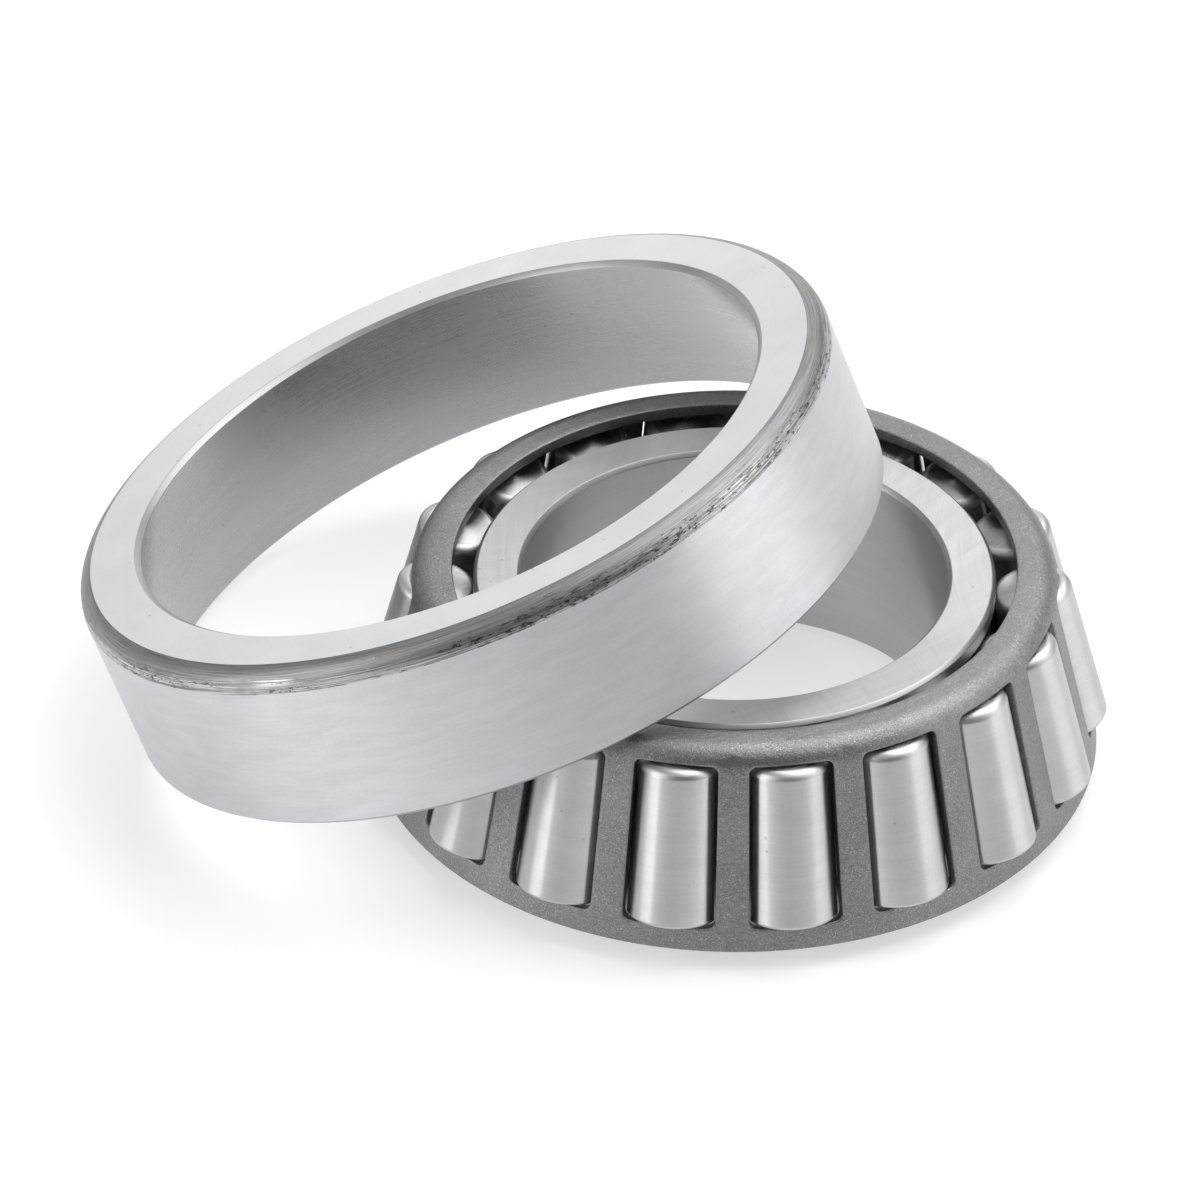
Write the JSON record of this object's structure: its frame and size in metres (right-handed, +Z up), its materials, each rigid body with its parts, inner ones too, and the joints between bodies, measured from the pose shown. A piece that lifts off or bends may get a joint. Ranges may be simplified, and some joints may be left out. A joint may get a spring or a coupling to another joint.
{
  "type": "tapered roller bearing",
  "caption": "Single-row tapered roller bearing lying on its back face, with the separable outer ring taken off and leaning on the cage.",
  "frame": {"origin": "centre of the bore in the plane of the inner ring's back face, which rests on the ground", "axes": "+Z up along the bore's axis, from the back face to the front face; -X towards the side that the outer ring leans to"},
  "size_m": [0.1105, 0.085, 0.0481],
  "materials": {
    "inner_ring_steel": "ground, satin",
    "outer_ring_steel": "ground, satin, with darker heat-treated corners",
    "cage_steel": "pressed sheet, matte tumbled",
    "roller_steel": "fine ground, satin bright"
  },
  "bodies": {
    "inner_ring": {"inner_ring": "inner_ring_steel"},
    "outer_ring": {"outer_ring": "outer_ring_steel"},
    "cage": {"cage": "cage_steel"},
    "roller_01": {"roller_01": "roller_steel"},
    "roller_02": {"roller_02": "roller_steel"},
    "roller_03": {"roller_03": "roller_steel"},
    "roller_04": {"roller_04": "roller_steel"},
    "roller_05": {"roller_05": "roller_steel"},
    "roller_06": {"roller_06": "roller_steel"},
    "roller_07": {"roller_07": "roller_steel"},
    "roller_08": {"roller_08": "roller_steel"},
    "roller_09": {"roller_09": "roller_steel"},
    "roller_10": {"roller_10": "roller_steel"},
    "roller_11": {"roller_11": "roller_steel"},
    "roller_12": {"roller_12": "roller_steel"},
    "roller_13": {"roller_13": "roller_steel"},
    "roller_14": {"roller_14": "roller_steel"},
    "roller_15": {"roller_15": "roller_steel"},
    "roller_16": {"roller_16": "roller_steel"},
    "roller_17": {"roller_17": "roller_steel"},
    "roller_18": {"roller_18": "roller_steel"}
  },
  "joints": [
    {"name": "cage_turn", "type": "hinge", "parent": "inner_ring", "child": "cage", "pos_m": [0, 0, 0.0135], "axis": [0, 0, 1], "continuous": true},
    {"name": "outer_ring_turn", "type": "hinge", "parent": "inner_ring", "child": "outer_ring", "pos_m": [-0.02838, 0, 0.02431], "axis": [-0.3675, 0, 0.93], "continuous": true},
    {"name": "roller_01_spin", "type": "hinge", "parent": "cage", "child": "roller_01", "pos_m": [0.03186, 0.00914, 0.01302], "axis": [-0.2205, -0.0632, 0.9733], "continuous": true},
    {"name": "roller_02_spin", "type": "hinge", "parent": "cage", "child": "roller_02", "pos_m": [0.02681, 0.01948, 0.01302], "axis": [-0.1856, -0.1348, 0.9733], "continuous": true},
    {"name": "roller_03_spin", "type": "hinge", "parent": "cage", "child": "roller_03", "pos_m": [0.01853, 0.02748, 0.01302], "axis": [-0.1283, -0.1902, 0.9733], "continuous": true},
    {"name": "roller_04_spin", "type": "hinge", "parent": "cage", "child": "roller_04", "pos_m": [0.00802, 0.03216, 0.01302], "axis": [-0.0555, -0.2226, 0.9733], "continuous": true},
    {"name": "roller_05_spin", "type": "hinge", "parent": "cage", "child": "roller_05", "pos_m": [-0.00346, 0.03296, 0.01302], "axis": [0.024, -0.2281, 0.9733], "continuous": true},
    {"name": "roller_06_spin", "type": "hinge", "parent": "cage", "child": "roller_06", "pos_m": [-0.01453, 0.02979, 0.01302], "axis": [0.1005, -0.2062, 0.9733], "continuous": true},
    {"name": "roller_07_spin", "type": "hinge", "parent": "cage", "child": "roller_07", "pos_m": [-0.02384, 0.02302, 0.01302], "axis": [0.165, -0.1593, 0.9733], "continuous": true},
    {"name": "roller_08_spin", "type": "hinge", "parent": "cage", "child": "roller_08", "pos_m": [-0.03028, 0.01348, 0.01302], "axis": [0.2095, -0.0933, 0.9733], "continuous": true},
    {"name": "roller_09_spin", "type": "hinge", "parent": "cage", "child": "roller_09", "pos_m": [-0.03306, 0.00231, 0.01302], "axis": [0.2288, -0.016, 0.9733], "continuous": true},
    {"name": "roller_10_spin", "type": "hinge", "parent": "cage", "child": "roller_10", "pos_m": [-0.03186, -0.00914, 0.01302], "axis": [0.2205, 0.0632, 0.9733], "continuous": true},
    {"name": "roller_11_spin", "type": "hinge", "parent": "cage", "child": "roller_11", "pos_m": [-0.02681, -0.01948, 0.01302], "axis": [0.1856, 0.1348, 0.9733], "continuous": true},
    {"name": "roller_12_spin", "type": "hinge", "parent": "cage", "child": "roller_12", "pos_m": [-0.01853, -0.02748, 0.01302], "axis": [0.1283, 0.1902, 0.9733], "continuous": true},
    {"name": "roller_13_spin", "type": "hinge", "parent": "cage", "child": "roller_13", "pos_m": [-0.00802, -0.03216, 0.01302], "axis": [0.0555, 0.2226, 0.9733], "continuous": true},
    {"name": "roller_14_spin", "type": "hinge", "parent": "cage", "child": "roller_14", "pos_m": [0.00346, -0.03296, 0.01302], "axis": [-0.024, 0.2281, 0.9733], "continuous": true},
    {"name": "roller_15_spin", "type": "hinge", "parent": "cage", "child": "roller_15", "pos_m": [0.01453, -0.02979, 0.01302], "axis": [-0.1005, 0.2062, 0.9733], "continuous": true},
    {"name": "roller_16_spin", "type": "hinge", "parent": "cage", "child": "roller_16", "pos_m": [0.02384, -0.02302, 0.01302], "axis": [-0.165, 0.1593, 0.9733], "continuous": true},
    {"name": "roller_17_spin", "type": "hinge", "parent": "cage", "child": "roller_17", "pos_m": [0.03028, -0.01348, 0.01302], "axis": [-0.2095, 0.0933, 0.9733], "continuous": true},
    {"name": "roller_18_spin", "type": "hinge", "parent": "cage", "child": "roller_18", "pos_m": [0.03306, -0.00231, 0.01302], "axis": [-0.2288, 0.016, 0.9733], "continuous": true}
  ],
  "couplings": [
    {"joint": "roller_01_spin", "follows": "cage_turn", "ratio": 6.128},
    {"joint": "roller_02_spin", "follows": "cage_turn", "ratio": 6.128},
    {"joint": "roller_03_spin", "follows": "cage_turn", "ratio": 6.128},
    {"joint": "roller_04_spin", "follows": "cage_turn", "ratio": 6.128},
    {"joint": "roller_05_spin", "follows": "cage_turn", "ratio": 6.128},
    {"joint": "roller_06_spin", "follows": "cage_turn", "ratio": 6.128},
    {"joint": "roller_07_spin", "follows": "cage_turn", "ratio": 6.128},
    {"joint": "roller_08_spin", "follows": "cage_turn", "ratio": 6.128},
    {"joint": "roller_09_spin", "follows": "cage_turn", "ratio": 6.128},
    {"joint": "roller_10_spin", "follows": "cage_turn", "ratio": 6.128},
    {"joint": "roller_11_spin", "follows": "cage_turn", "ratio": 6.128},
    {"joint": "roller_12_spin", "follows": "cage_turn", "ratio": 6.128},
    {"joint": "roller_13_spin", "follows": "cage_turn", "ratio": 6.128},
    {"joint": "roller_14_spin", "follows": "cage_turn", "ratio": 6.128},
    {"joint": "roller_15_spin", "follows": "cage_turn", "ratio": 6.128},
    {"joint": "roller_16_spin", "follows": "cage_turn", "ratio": 6.128},
    {"joint": "roller_17_spin", "follows": "cage_turn", "ratio": 6.128},
    {"joint": "roller_18_spin", "follows": "cage_turn", "ratio": 6.128}
  ]
}
